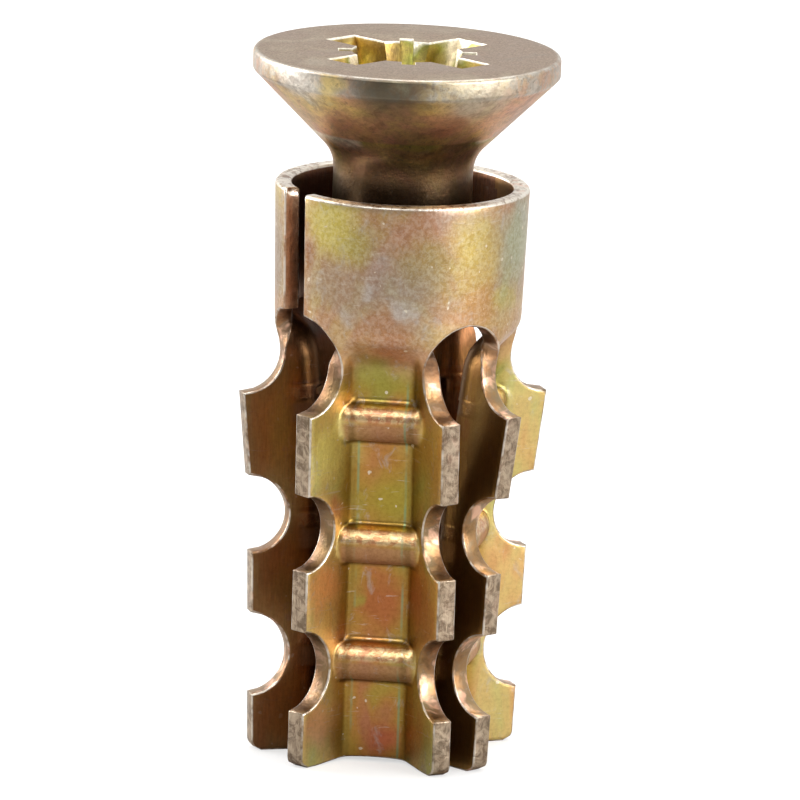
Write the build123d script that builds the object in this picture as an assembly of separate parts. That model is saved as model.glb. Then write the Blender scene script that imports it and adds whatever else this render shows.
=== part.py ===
from build123d import *
import math
import os

# An expansion anchor standing on its leg ends: a folded sheet sleeve and a countersunk cross recess screw.
# Millimetres, +Z up, origin at the middle of the leg ends, front leg facing -Y.

# Sheet and sleeve, the sheet a little thinner where it is rolled into the collar
collar_sheet = 0.85
leg_sheet = 1.05
collar_radius = 6.55
collar_foot_radius = 6.35
collar_length = 7.1
collar_rim_round = 0.25
seam_angle = 17.0
leg_count = 4
collar_fold_share = 0.12

# Folded channel of one leg, seen from above
web_half_width = 1.52
wing_length = 3.3
wing_angle = 55.5
fold_radius = 0.55

# Leg profile, seen from the side: it bends in at the throat and again at the knee
throat_height = 21.1
neck_rise = 1.6
knee_height = 13.0
upper_lean = 6.5
lower_lean = 2.0
leg_end_arch = 0.22
arch_half_width = 2.7
leg_end_round = 0.55
leg_end_tolerance = 0.1

# Round notches punched on the slits between the legs, the largest at the throat
throat_hole_radius = 2.35
throat_hole_steps = 6
throat_hole_span = 88.0
upper_notch_height = 12.46
upper_notch_radius = 2.0
lower_notch_height = 5.12
lower_notch_radius = 2.17
lower_notch_offset = 0.2

# Raised beads across each web
bead_heights = (18.15, 11.6, 5.4)
bead_half_height = 1.05
bead_rise = 0.95
bead_overhang = 0.93
bead_wall = 0.7
bead_flank = 0.37
hollow_overhang = 0.08

# Screw, M8 with 14 mm length over the head
thread_major = 8.0
thread_pitch = 1.25
pitch_diameter_factor = 0.6495
screw_length = 14.0
tip_depth = 0.05
throat_clearance = 0.25
head_radius = 7.9
head_land = 1.0
head_edge_round = 0.22
land_edge_round = 0.15
neck_round = 2.0
tip_chamfer = 0.8

# Cross recess in the head
recess_depth = 3.7
recess_floor_cone = 0.7
recess_point_radius = 0.4
recess_core_radius = 2.85
recess_core_foot_radius = 2.05
recess_arm_radius = 4.85
recess_arm_foot_radius = 3.0
recess_arm_width = 2.05
recess_rib_radius = 3.55
recess_rib_foot_radius = 2.3
recess_rib_width = 0.7
recess_arm_spacing = 90.0
recess_turn = 53.0

# Worked out from the sizes above
leg_pitch = (360.0 - seam_angle) / leg_count
collar_foot = throat_height + neck_rise
sleeve_height = collar_foot + collar_length
collar_bore_radius = collar_radius - collar_sheet
wing_sine = math.sin(math.radians(wing_angle))
wing_cosine = math.cos(math.radians(wing_angle))
tip_across = web_half_width + wing_length * wing_cosine
bead_half_length = web_half_width + bead_overhang
hollow_half_height = bead_half_height - bead_flank
hollow_depth = leg_sheet + bead_rise - bead_wall
hollow_half_length = web_half_width + hollow_overhang
shank_radius = (thread_major - pitch_diameter_factor * thread_pitch) / 2
punch_length = 8 * leg_sheet

# The screw stands with its tip just below the collar's foot, and the webs clear its shank at the throat
screw_tip = collar_foot - tip_depth
head_top = screw_tip + screw_length
upper_slope = math.tan(math.radians(upper_lean))
lower_slope = math.tan(math.radians(lower_lean))
throat_distance = shank_radius + throat_clearance + leg_sheet
knee_distance = throat_distance - (throat_height - knee_height) * upper_slope
leg_end_distance = knee_distance - knee_height * lower_slope


def web_distance(z):
    """Distance of the web's outward face from the sleeve's axis at height z."""
    slope = upper_slope if z >= knee_height else lower_slope
    return knee_distance + (z - knee_height) * slope


def leg_point(across, out, z):
    """A point of the front leg, given across to its right, outward from the axis and up."""
    return Vector(across, -out, z)


def filleted_path(corners, radii):
    """Edges through the corners, each inner corner rounded to its radius."""
    cuts = []
    for before, corner, after, radius in zip(corners, corners[1:], corners[2:], radii):
        back = (before - corner).normalized()
        ahead = (after - corner).normalized()
        half = math.radians(back.get_angle(ahead)) / 2
        reach = radius / math.tan(half)
        middle = (back + ahead).normalized()
        nearest = corner + middle * (radius / math.sin(half) - radius)
        cuts.append((corner + back * reach, nearest, corner + ahead * reach))
    edges = []
    start = corners[0]
    for first, nearest, last in cuts:
        edges.append(Edge.make_line(start, first))
        edges.append(Edge.make_three_point_arc(first, nearest, last))
        start = last
    edges.append(Edge.make_line(start, corners[-1]))
    return edges


def channel_section(z):
    """The leg's folded section at height z."""
    distance = web_distance(z)
    tip_out = distance + wing_length * wing_sine
    back_across = web_half_width + leg_sheet * math.tan(math.radians(wing_angle) / 2)
    back_shift = leg_sheet * wing_sine
    back_tip_out = tip_out - leg_sheet * wing_cosine
    front = [
        leg_point(-tip_across, tip_out, z),
        leg_point(-web_half_width, distance, z),
        leg_point(web_half_width, distance, z),
        leg_point(tip_across, tip_out, z),
    ]
    back = [
        leg_point(tip_across + back_shift, back_tip_out, z),
        leg_point(back_across, distance - leg_sheet, z),
        leg_point(-back_across, distance - leg_sheet, z),
        leg_point(-tip_across - back_shift, back_tip_out, z),
    ]
    edges = filleted_path(front, (fold_radius, fold_radius))
    edges.append(Edge.make_line(front[-1], back[0]))
    edges += filleted_path(back, (fold_radius + leg_sheet, fold_radius + leg_sheet))
    edges.append(Edge.make_line(back[-1], front[0]))
    return Face(Wire(edges))


def collar_section(z, radius):
    """The same strip of sheet where it is still part of the round collar."""
    half = leg_pitch / 2
    middle = half * web_half_width / (web_half_width + wing_length)
    bend = collar_fold_share * half
    angles = [-half, -middle - bend, -middle + bend, middle - bend, middle + bend, half]

    def rim(angle, r):
        return leg_point(r * math.sin(math.radians(angle)), r * math.cos(math.radians(angle)), z)

    def arcs(stops, r):
        return [
            Edge.make_three_point_arc(rim(a, r), rim((a + b) / 2, r), rim(b, r))
            for a, b in zip(stops, stops[1:])
        ]

    inner = radius - collar_sheet
    edges = arcs(angles, radius)
    edges.append(Edge.make_line(rim(half, radius), rim(half, inner)))
    edges += arcs(angles[::-1], inner)
    edges.append(Edge.make_line(rim(-half, inner), rim(-half, radius)))
    return Face(Wire(edges))


def leg_blank():
    """One leg before punching: from the collar's foot through the throat and the knee to its end."""
    throat = channel_section(throat_height)
    knee = channel_section(knee_height)
    neck = loft([collar_section(collar_foot, collar_foot_radius), throat])
    return neck + loft([throat, knee], ruled=True) + loft([knee, channel_section(0)], ruled=True)


def rod(middle, direction, radius, length):
    """A round bar centred on a point."""
    return Plane(origin=middle, z_dir=direction) * Cylinder(radius, length)


def wing_tip(side, z):
    """The front edge of a wing's tip at height z."""
    return leg_point(side * tip_across, web_distance(z) + wing_length * wing_sine, z)


def wing_notch(side, z, radius, offset=0.0):
    """The round punched out of one wing's free edge, its middle the offset outside that edge."""
    along_wing = leg_point(side * wing_cosine, wing_sine, 0)
    square_to_wing = leg_point(side * wing_sine, -wing_cosine, 0)
    return rod(wing_tip(side, z) + along_wing * offset, square_to_wing, radius, punch_length)


def hole_wall(side, z, reach):
    """Where the throat hole's wall meets the outward face, and the sheet's outward direction there.

    The wall is the given reach along the sheet from the slit. Higher up, the sheet turns into the collar.
    """
    rise = min(1.0, (z - throat_height) / neck_rise)
    run = wing_length - reach
    wing_out = throat_distance + run * wing_sine
    on_wing = leg_point(web_half_width + run * wing_cosine, wing_out, z)
    angle = math.radians(leg_pitch / 2) - reach / collar_foot_radius
    on_collar = leg_point(collar_foot_radius * math.sin(angle), collar_foot_radius * math.cos(angle), z)
    off_wing = leg_point(-wing_sine, wing_cosine, 0)
    off_collar = leg_point(math.sin(angle), math.cos(angle), 0)
    place = on_wing * (1 - rise) + on_collar * rise
    outward = (off_wing * (1 - rise) + off_collar * rise).normalized()
    return Vector(side * place.X, place.Y, place.Z), Vector(side * outward.X, outward.Y, 0)


def throat_hole(side):
    """The upper half of the hole at the top of the slit, its wall square to the sheet all the way round."""
    half = math.radians(leg_pitch / 2)
    slit = leg_point(side * math.sin(half), math.cos(half), 0)
    sections = []
    for step in range(throat_hole_steps + 1):
        turn = math.radians(throat_hole_span * step / throat_hole_steps)
        z = throat_height + throat_hole_radius * math.sin(turn)
        place, outward = hole_wall(side, z, throat_hole_radius * math.cos(turn))
        corners = (
            place + outward * wing_length,
            place - outward * 2 * leg_sheet,
            slit * (collar_foot_radius - 2 * leg_sheet) + Vector(0, 0, z),
            slit * (2 * collar_foot_radius) + Vector(0, 0, z),
        )
        sections.append(Face(Wire.make_polygon(corners)))
    return loft(sections)


def above(z):
    """Everything of the sleeve above height z."""
    return Pos(0, 0, z + sleeve_height / 2) * Box(4 * collar_radius, 4 * collar_radius, sleeve_height)


def bead(z):
    """A half round ridge pressed outward across the web."""
    start = web_distance(z)
    profile = Plane(origin=leg_point(-bead_half_length, start, z), x_dir=(0, -1, 0), z_dir=(1, 0, 0))
    ridge = extrude(profile * Ellipse(bead_rise, bead_half_height), amount=2 * bead_half_length)
    return ridge & leg_box(start - leg_sheet / 2, start + 2 * bead_rise, z)


def leg_box(from_out, to_out, z):
    """A block as long as a bead, between two distances from the axis."""
    middle = leg_point(0, (from_out + to_out) / 2, z)
    return Pos(middle) * Box(2 * bead_half_length, to_out - from_out, 4 * bead_half_height)


def bead_hollow(z):
    """The groove that pressing leaves on the web's inward face, with round ends."""
    inner_face = web_distance(z) - leg_sheet
    middle = leg_point(0, inner_face + hollow_depth - hollow_half_height, z)
    straight = hollow_half_length - hollow_half_height
    groove = rod(middle, Vector(1, 0, 0), hollow_half_height, 2 * straight)
    for side in (-1, 1):
        groove += Pos(middle + Vector(side * straight, 0, 0)) * Sphere(hollow_half_height)
    return groove


def end_arch():
    """The shallow arch left under the web by the folding."""
    radius = arch_half_width**2 / (2 * leg_end_arch)
    middle = leg_point(0, leg_end_distance, leg_end_arch - radius)
    return rod(middle, Vector(0, 1, 0), radius, 2 * punch_length)


def is_end_corner(edge):
    """True for a level edge that runs through the sheet's thickness."""
    through = abs(edge.length - leg_sheet) < leg_end_tolerance * leg_sheet
    return through and abs(edge.tangent_at(0.5).Z) < leg_end_tolerance


def front_leg():
    leg = leg_blank()
    for z in bead_heights:
        leg += bead(z)
    for z in bead_heights:
        leg -= bead_hollow(z)
    corners = ShapeList()
    for side in (-1, 1):
        corners.append(leg.edges().sort_by_distance(wing_tip(side, 0)).filter_by(is_end_corner)[0])
    leg = fillet(corners, leg_end_round)
    for side in (-1, 1):
        leg -= throat_hole(side)
        leg -= wing_notch(side, throat_height, throat_hole_radius) - above(throat_height)
        leg -= wing_notch(side, upper_notch_height, upper_notch_radius)
        leg -= wing_notch(side, lower_notch_height, lower_notch_radius, lower_notch_offset)
    return leg - end_arch()


def collar():
    """The split ring, slightly tapered, with a rounded top rim and the tops of the throat holes."""
    inner_foot = collar_foot_radius - collar_sheet
    profile = make_face(
        Polyline(
            (inner_foot, 0, collar_foot),
            (collar_foot_radius, 0, collar_foot),
            (collar_radius, 0, sleeve_height),
            (collar_bore_radius, 0, sleeve_height),
            close=True,
        )
    )
    rim = profile.vertices().filter_by(lambda v: v.Z > sleeve_height - collar_sheet)
    profile = fillet(rim, collar_rim_round)
    ring = revolve(profile, Axis.Z, leg_count * leg_pitch)
    ring = Rot(0, 0, -90 - leg_pitch / 2) * ring
    for number in range(leg_count):
        for side in (-1, 1):
            ring -= Rot(0, 0, number * leg_pitch) * throat_hole(side)
    return ring


def sleeve():
    body = collar()
    leg = front_leg()
    for number in range(leg_count):
        body += Rot(0, 0, number * leg_pitch) * leg
    return body


def recess():
    """Cross recess: a fluted core, four arms and four fine ribs between them."""
    foot = head_top - recess_depth
    core = Cone(recess_core_foot_radius, recess_core_radius, recess_depth)
    floor = Cone(recess_point_radius, recess_core_foot_radius, recess_floor_cone)
    cut = Pos(0, 0, foot + recess_depth / 2) * core
    cut += Pos(0, 0, foot - recess_floor_cone / 2) * floor
    arms = (
        (0, recess_arm_radius, recess_arm_foot_radius, recess_arm_width),
        (recess_arm_spacing / 2, recess_rib_radius, recess_rib_foot_radius, recess_rib_width),
    )
    for start, reach, foot_reach, width in arms:
        bar = bar_cut(foot, reach, foot_reach, width)
        for turn in (0, recess_arm_spacing):
            cut += Rot(0, 0, start + turn) * bar
    return Rot(0, 0, recess_turn) * cut


def bar_cut(foot, reach, foot_reach, width):
    """A straight slot through the core, its ends sloping inward with depth."""
    profile = Polyline(
        (-reach, 0, head_top),
        (-foot_reach, 0, foot),
        (foot_reach, 0, foot),
        (reach, 0, head_top),
        close=True,
    )
    return extrude(make_face(profile), amount=width / 2, both=True)


def screw():
    """Turned countersunk screw, its threaded length left at the pitch diameter."""
    cone_foot = head_top - head_land - (head_radius - shank_radius)
    profile = make_face(
        Polyline(
            (0, 0, head_top),
            (head_radius, 0, head_top),
            (head_radius, 0, head_top - head_land),
            (shank_radius, 0, cone_foot),
            (shank_radius, 0, screw_tip + tip_chamfer),
            (shank_radius - tip_chamfer, 0, screw_tip),
            (0, 0, screw_tip),
            close=True,
        )
    )
    rounds = (
        (head_radius, head_top, head_edge_round),
        (head_radius, head_top - head_land, land_edge_round),
        (shank_radius, cone_foot, neck_round),
    )
    for x, z, radius in rounds:
        corner = profile.vertices().sort_by_distance((x, 0, z))[0]
        profile = fillet(corner, radius)
    return revolve(profile, Axis.Z) - recess()


def write(part, name):
    """Save one node as a single solid."""
    part.label = name
    export_step(part, f"parts/{name}.step")


os.makedirs("parts", exist_ok=True)
write(sleeve(), "sleeve")
write(screw(), "screw")
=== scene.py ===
import math

import bmesh
import bpy
import numpy as np
from mathutils import Matrix, Vector


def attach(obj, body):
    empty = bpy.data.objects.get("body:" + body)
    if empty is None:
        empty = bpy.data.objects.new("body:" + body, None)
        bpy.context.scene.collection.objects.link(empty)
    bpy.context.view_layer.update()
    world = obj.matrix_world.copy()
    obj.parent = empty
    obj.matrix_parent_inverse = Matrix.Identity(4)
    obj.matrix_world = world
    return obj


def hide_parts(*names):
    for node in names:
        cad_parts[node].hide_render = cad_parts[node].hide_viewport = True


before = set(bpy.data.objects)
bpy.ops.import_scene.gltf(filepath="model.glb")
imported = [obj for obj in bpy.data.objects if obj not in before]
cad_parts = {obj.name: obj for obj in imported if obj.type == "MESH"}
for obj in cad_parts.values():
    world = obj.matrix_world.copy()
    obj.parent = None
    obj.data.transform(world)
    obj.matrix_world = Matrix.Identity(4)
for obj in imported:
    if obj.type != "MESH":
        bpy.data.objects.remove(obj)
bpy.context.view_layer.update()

# Lengths are in millimetres, in the part's own frame, where no comment says otherwise, and become
# metres when a mesh is written
MM = 0.001

# Sheet and collar
COLLAR_SHEET = 0.85
LEG_SHEET = 1.05
COLLAR_RADIUS = 6.55
COLLAR_FOOT_RADIUS = 6.35
COLLAR_LENGTH = 7.1
SEAM_ANGLE = 17.0
LEG_COUNT = 4
EDGE_ROUND = 0.12
RIM_ROUND = 0.2

# Folded leg
WEB_HALF_WIDTH = 1.52
WING_LENGTH = 3.3
WING_ANGLE = math.radians(55.5)
FOLD_RADIUS = 0.55
THROAT_HEIGHT = 21.1
NECK_RISE = 1.6
KNEE_HEIGHT = 13.0
UPPER_SLOPE = math.tan(math.radians(6.5))
LOWER_SLOPE = math.tan(math.radians(2.0))
BEND_SOFTNESS = 0.14
LEG_END_ARCH = 0.22
ARCH_HALF_WIDTH = 2.7
ARCH_HEIGHT = 1.5
LEG_END_ROUND = 0.55

# Round notches on the slits: height, radius and how far the middle lies outside the edge
# The throat's hole comes last
NOTCHES = ((5.12, 2.17, 0.2), (12.46, 2.0, 0.0), (THROAT_HEIGHT, 2.35, 0.0))

# Beads
BEAD_HEIGHTS = (18.15, 11.6, 5.4)
BEAD_HALF_HEIGHT = 1.05
BEAD_RISE = 0.95
BEAD_SHOULDER = 1.8
BEAD_END = 2.55
BEAD_FULLNESS = 2.0
HOLLOW_HALF_HEIGHT = 0.72
HOLLOW_DEPTH = 1.3
HOLLOW_SHOULDER = 0.9
HOLLOW_END = 1.6
HOLLOW_FULLNESS = 2.6

# Screw. The shank has the thread's pitch diameter, which is under the major one by this many pitches
THREAD_MAJOR = 8.0
THREAD_PITCH = 1.25
PITCH_DIAMETER_DROP = 0.6495
SCREW_LENGTH = 14.0
TIP_DEPTH = 0.05
THROAT_CLEARANCE = 0.25
HEAD_RADIUS = 7.9
HEAD_LAND = 1.0
HEAD_EDGE_ROUND = 0.22
LAND_EDGE_ROUND = 0.2
NECK_ROUND = 2.0
TIP_CHAMFER = 0.8
THREAD_CREST = 3.68
THREAD_ROOT = 3.22
THREAD_FLAT = 0.1
THREAD_TOP = 28.0
THREAD_RUNOUT = 0.9

# Cross recess. An arm's and a rib's sizes are its reach at the top and at the foot and its width
RECESS_DEPTH = 3.7
RECESS_FLOOR_CONE = 0.7
RECESS_POINT_RADIUS = 0.4
RECESS_CORE_RADIUS = 2.85
RECESS_CORE_FOOT_RADIUS = 2.05
RECESS_ARM = (4.85, 3.0, 2.05)
RECESS_RIB = (3.55, 2.3, 0.7)
RECESS_TURN = math.radians(53.0)
RECESS_EDGE_ROUND = 0.09
RECESS_REACH = 4.9
CUTTER_OVERLAP = 0.5

# Worked out from the sizes above
LEG_PITCH = math.radians((360.0 - SEAM_ANGLE) / LEG_COUNT)
COLLAR_FOOT = THROAT_HEIGHT + NECK_RISE
SLEEVE_HEIGHT = COLLAR_FOOT + COLLAR_LENGTH
SHANK_RADIUS = (THREAD_MAJOR - PITCH_DIAMETER_DROP * THREAD_PITCH) / 2
THROAT_DISTANCE = SHANK_RADIUS + THROAT_CLEARANCE + LEG_SHEET
KNEE_DISTANCE = THROAT_DISTANCE - (THROAT_HEIGHT - KNEE_HEIGHT) * UPPER_SLOPE
SCREW_TIP = COLLAR_FOOT - TIP_DEPTH
HEAD_TOP = SCREW_TIP + SCREW_LENGTH
FLAT_RUN = WEB_HALF_WIDTH - FOLD_RADIUS * math.tan(WING_ANGLE / 2)
FOLD_RUN = FOLD_RADIUS * WING_ANGLE
FULL_RUN = FLAT_RUN + FOLD_RUN + WING_LENGTH - (WEB_HALF_WIDTH - FLAT_RUN)

# How fine the meshes are. A leg's mesh has columns at these runs over the web and the fold, then at
# shares of the rest, and even rows that keep a gap to the rows that its edges need
CORE_RUNS = (0, 0.3, 0.6, 0.9, 1.08, FLAT_RUN, 1.34, 1.45, 1.56, 1.67, FLAT_RUN + FOLD_RUN, 1.9, 2.05)
OUTER_SHARES = (0.12, 0.26, 0.42, 0.58, 0.75, 0.9, 1.0)
LEVEL_ROWS = 60
ROW_GAP = 0.07
SCREW_SEGMENTS = 160
THREAD_ROWS = 14
RECESS_SEGMENTS = 96
SLEEVE_WELD = 0.002
SCREW_WELD = 0.0005
SHARP_ANGLE = math.radians(32)
MOUTH_ANGLE = 0.5
TOLERANCE = 1e-6
LEVEL_TOLERANCE = 1e-3

# What each vertex of the sleeve notes for its material: its signed run and its height on the sheet,
# 1 on inward faces, 0 on faces, 0.5 on an edge's rounding and 1 on its wall, and the leg's number
NOTES = ("run", "height", "inner", "wall", "leg")

# Relief of both metals, its depth in metres
RELIEF_STRENGTH = 0.35
RELIEF_DEPTH = 0.00006

# Stage and world, the floor's reach in metres
FLOOR_REACH = 3
WHITE = (1.0, 1.0, 1.0, 1.0)
WARM_WHITE = (1.0, 0.98, 0.95, 1.0)
PAPER_IN_LIGHT = (0.42, 0.41, 0.4)
PAPER_SEEN = (0.9, 0.9, 0.9)
PAPER_GLOW = 0.6
WORLD_SIDE = 1.1
WORLD_FRONT = 0.2

# Lamps: name, place, size and power, in metres and watts
LAMP_AIM = Vector((0, 0, 0.02))
LAMPS = (
    ("left_softbox", (-0.5, 0.14, 0.22), (0.35, 0.5), 4.0),
    ("right_softbox", (0.5, -0.24, 0.2), (0.35, 0.5), 3.6),
    ("top_softbox", (0.05, 0.2, 0.6), (0.4, 0.4), 3.0),
    ("front_top", (-0.1, -0.5, 0.5), (0.15, 0.15), 1.0),
)

# Camera, fitted to the photo. Its distance and target are in metres
CAMERA_AZIMUTH = math.radians(6.8)
CAMERA_ELEVATION = math.radians(12.44)
CAMERA_ROLL = math.radians(2.12)
CAMERA_DISTANCE = 0.6
CAMERA_SHIFT = 0.0066
CAMERA_TARGET = Vector((0.0, 0.0, 0.01836))
SENSOR_WIDTH = 36.0
PIXELS_PER_MM = 19.4
IMAGE_SIZE = 800


# Sheet surface

def soft_positive(x, width):
    """x where positive and 0 where negative, with a soft corner."""
    return width * np.logaddexp(0, x / width)


def web_distance(z):
    """Distance of a web's outward face from the axis, with a soft bend at the knee."""
    bend = (UPPER_SLOPE - LOWER_SLOPE) * soft_positive(z - KNEE_HEIGHT, 2 * BEND_SOFTNESS)
    return KNEE_DISTANCE + (z - KNEE_HEIGHT) * LOWER_SLOPE + bend


def fold_path(run):
    """Across and outward places of a point at a signed run along the folded sheet."""
    size = np.abs(run)
    turn = np.clip((size - FLAT_RUN) / FOLD_RADIUS, 0, WING_ANGLE)
    straight = np.maximum(size - FLAT_RUN - FOLD_RUN, 0)
    across = np.minimum(size, FLAT_RUN) + FOLD_RADIUS * np.sin(turn) + straight * math.cos(WING_ANGLE)
    out = FOLD_RADIUS * (1 - np.cos(turn)) + straight * math.sin(WING_ANGLE)
    return np.sign(run) * across, out


def neck_share(z):
    """0 on the leg, 1 on the collar, and a softened ramp along the neck."""
    lower = soft_positive(z - THROAT_HEIGHT, BEND_SOFTNESS)
    upper = soft_positive(z - COLLAR_FOOT, BEND_SOFTNESS)
    return np.where(z > COLLAR_FOOT + 3 * BEND_SOFTNESS, 1.0, (lower - upper) / NECK_RISE)


def sheet_point(run, z):
    """A point of the sheet's outward face on the front leg, with no beads."""
    across, out = fold_path(run)
    out = out + web_distance(np.minimum(z, THROAT_HEIGHT))
    angle = LEG_PITCH / 2 * run / FULL_RUN
    climb = np.maximum(z - COLLAR_FOOT, 0) / COLLAR_LENGTH
    radius = COLLAR_FOOT_RADIUS + (COLLAR_RADIUS - COLLAR_FOOT_RADIUS) * climb
    share = neck_share(z)
    x = across * (1 - share) + radius * np.sin(angle) * share
    y = out * (1 - share) + radius * np.cos(angle) * share
    return np.stack([x, -y, z], axis=-1)


def sheet_normal(run, z):
    """The outward direction there, level at the collar's rim and at the leg's end."""
    step = 0.01
    along = sheet_point(run + step, z) - sheet_point(run - step, z)
    up = sheet_point(run, z + step) - sheet_point(run, z - step)
    normal = np.cross(along, up)
    above_foot = np.clip((z - 0.3) / 2, 0, 1)
    below_rim = np.clip((SLEEVE_HEIGHT - 1 - z) / 2, 0, 1)
    normal[..., 2] *= above_foot * below_rim
    return normal / np.linalg.norm(normal, axis=-1, keepdims=True)


def round_end(size, shoulder, end):
    """1 up to the shoulder, falling in a quarter round to 0 at the end."""
    past = np.clip((size - shoulder) / (end - shoulder), 0, 1)
    return np.sqrt(1 - past**2)


def pressed(across, z, half_height, height, shoulder, end, fullness):
    """The height of a pressed ridge or hollow above its face, for the nearest bead."""
    rise = np.zeros_like(z)
    for middle in BEAD_HEIGHTS:
        body = np.clip(1 - np.abs((z - middle) / half_height) ** fullness, 0, 1) ** (1 / fullness)
        rise = np.maximum(rise, body)
    return height * rise * round_end(np.abs(across), shoulder, end)


def sheet_thickness(z):
    """The sheet is a little thinner in the collar than in the legs."""
    return LEG_SHEET + (COLLAR_SHEET - LEG_SHEET) * neck_share(z)


def solid_point(run, z, depth, inward):
    """A point of the sheet at a depth under its outward or its inward face, with the beads pressed in."""
    thickness = sheet_thickness(z)
    if inward:
        depth = thickness - depth
    place = sheet_point(run, z) - sheet_normal(run, z) * depth[..., None]
    across = place[..., 0]
    web = web_distance(np.minimum(z, THROAT_HEIGHT))
    ridge = pressed(across, z, BEAD_HALF_HEIGHT, BEAD_RISE, BEAD_SHOULDER, BEAD_END, BEAD_FULLNESS)
    hollow = pressed(
        across, z, HOLLOW_HALF_HEIGHT, HOLLOW_DEPTH, HOLLOW_SHOULDER, HOLLOW_END, HOLLOW_FULLNESS,
    )
    front_gain = np.where(ridge > 0, np.maximum(web + ridge + place[..., 1], 0), 0)
    back_gain = np.where(hollow > 0, np.maximum(web - thickness + hollow + place[..., 1], 0), 0)
    share = depth / thickness
    place[..., 1] -= np.where(share < 0.5, front_gain * (1 - share), 0)
    place[..., 1] -= np.where(share > 0.5, back_gain * share, 0)
    arch = LEG_END_ARCH * np.clip(1 - (across / ARCH_HALF_WIDTH) ** 2, 0, 1)
    place[..., 2] += arch * np.clip(1 - z / ARCH_HEIGHT, 0, 1)
    return place


# Sleeve mesh

def edge_layers():
    """Inset from the sheared edge, depth under its face and whether that is the inward face."""
    turns = [math.radians(a) for a in (0, 30, 60, 90)]
    shares = [(1 - math.sin(a), 1 - math.cos(a)) for a in turns]
    layers = [(inset * EDGE_ROUND, depth * EDGE_ROUND) for inset, depth in shares]
    return [(*layer, False) for layer in layers] + [(*layer, True) for layer in layers[::-1]]


def row_heights():
    """Heights of the mesh rows, close together where an edge or a bead curves."""
    heights = {SLEEVE_HEIGHT * k / LEVEL_ROWS for k in range(1, LEVEL_ROWS)}
    insets = sorted({round(layer[0], 6) for layer in edge_layers()})
    keep = set()
    for middle, radius, offset in NOTCHES:
        heights |= {middle + radius * math.sin(math.radians(a)) for a in range(-84, 85, 7)}
        keep |= {middle + side * half_chord(radius, offset, inset) for side in (-1, 1) for inset in insets}
    for middle in BEAD_HEIGHTS:
        heights |= {middle + BEAD_HALF_HEIGHT * math.sin(math.radians(a)) for a in range(-90, 91, 15)}
    heights |= {LEG_END_ROUND * (1 - math.cos(math.radians(a))) for a in (40, 55, 70, 90)}
    heights |= {THROAT_HEIGHT, COLLAR_FOOT, KNEE_HEIGHT}
    rows = sorted(keep)
    for z in sorted(heights):
        clear = min(abs(z - other) for other in rows) > ROW_GAP
        if clear and 0.2 < z < SLEEVE_HEIGHT - 0.35:
            rows.append(z)
    return np.array(sorted(rows))


def half_chord(radius, offset, inset):
    """Half the height over which a notch opens the wing's edge."""
    return math.sqrt((radius + inset) ** 2 - offset**2)


def half_run(z, inset, seam):
    """How far the sheet reaches from a leg's middle at height z, short of its edge by the inset."""
    top = NOTCHES[-1][0] + half_chord(*NOTCHES[-1][1:], inset)
    reach = np.where((z >= top - TOLERANCE) & (not seam), FULL_RUN, FULL_RUN - inset)
    for middle, radius, offset in NOTCHES:
        cut = np.sqrt(np.clip((radius + inset) ** 2 - (z - middle) ** 2, 0, None)) - offset
        opened = np.abs(z - middle) < half_chord(radius, offset, inset) - TOLERANCE
        reach = np.where(opened, np.minimum(reach, FULL_RUN - cut), reach)
    corner = LEG_END_ROUND
    below = np.clip((corner - inset) ** 2 - (corner - z) ** 2, 0, None)
    return np.where(z < corner, np.minimum(reach, FULL_RUN - corner + np.sqrt(below)), reach)


def grid_nodes(rows, inset, seams):
    """Run and height of every node of one leg's grid on one layer."""
    z = np.concatenate([[inset], rows, [SLEEVE_HEIGHT - inset * RIM_ROUND / EDGE_ROUND]])
    core = np.array(CORE_RUNS)
    sides = []
    for seam in seams:
        reach = half_run(z, inset, seam)[:, None]
        outer = core[-1] + (reach - core[-1]) * np.array(OUTER_SHARES)
        sides.append(np.hstack([np.repeat(core[None, 1:], len(z), axis=0), outer]))
    run = np.hstack([-sides[0][:, ::-1], np.zeros((len(z), 1)), sides[1]])
    return run, np.repeat(z[:, None], run.shape[1], axis=1)


def border(rows, columns):
    """Row and column numbers round the edge of a grid."""
    path = [(0, j) for j in range(columns)]
    path += [(i, columns - 1) for i in range(1, rows)]
    path += [(rows - 1, j) for j in range(columns - 2, -1, -1)]
    path += [(i, 0) for i in range(rows - 2, 0, -1)]
    return path


def add_leg(number, rows, verts, faces, notes):
    """Append one leg with its share of the collar: two full grids with rings along the edge between."""
    seams = (number == 0, number == LEG_COUNT - 1)
    turn = np.array(Matrix.Rotation(number * LEG_PITCH, 3, "Z"))
    layers = edge_layers()
    rings = []
    for k, (inset, depth, inward) in enumerate(layers):
        run, height = grid_nodes(rows, inset, seams)
        depths = np.full_like(run, depth)
        depths[-1] *= RIM_ROUND / EDGE_ROUND
        places = solid_point(run, height, depths, inward) @ turn.T
        count, columns = run.shape
        path = border(count, columns)
        full = k in (0, len(layers) - 1)
        nodes = [(i, j) for i in range(count) for j in range(columns)] if full else path
        start = len(verts)
        index = {node: start + n for n, node in enumerate(nodes)}
        wall = 1.0 if depth >= EDGE_ROUND - TOLERANCE else 0.5
        if full:
            wall = 0.0
        inner = 1.0 if inward else 0.0
        for i, j in nodes:
            verts.append(places[i, j])
            notes.append((run[i, j], height[i, j], inner, wall, number))
        rings.append((index, run, height))
        if full:
            for i in range(count - 1):
                for j in range(columns - 1):
                    quad = [index[i, j], index[i, j + 1], index[i + 1, j + 1], index[i + 1, j]]
                    faces.append(quad if k == 0 else quad[::-1])
    join_rings(rings, path, columns, seams, faces)


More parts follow.
